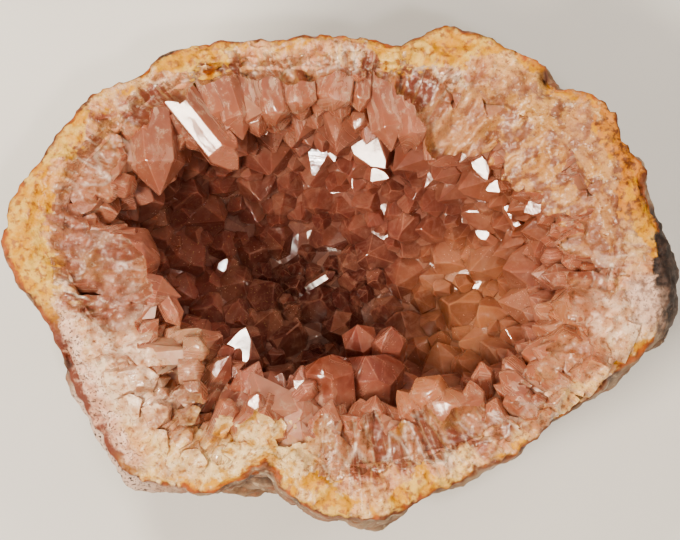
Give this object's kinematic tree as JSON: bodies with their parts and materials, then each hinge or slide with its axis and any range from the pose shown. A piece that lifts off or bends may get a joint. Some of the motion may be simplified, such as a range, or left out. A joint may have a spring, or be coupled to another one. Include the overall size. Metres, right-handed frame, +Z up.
{
  "type": "amethyst geode",
  "caption": "Half of a hollow quartz nodule, broken open: a lumpy oval stone bowl with a pale stony rim, lined with pink amethyst crystals.",
  "frame": {"origin": "middle of the bounding box in plan, on the surface that the geode rests on", "axes": "+Z up out of the hollow, +X along the geode's longest side towards its lumpy right end"},
  "size_m": [0.1114, 0.081, 0.048],
  "materials": {
    "stony_shell": "rough, pale cream broken rim with an ochre and dark brown rind",
    "pink_amethyst": "translucent pink quartz, glassy faces with frosted patches"
  },
  "bodies": {
    "root": {"shell": "stony_shell", "crystal_crust": "pink_amethyst"}
  },
  "joints": []
}
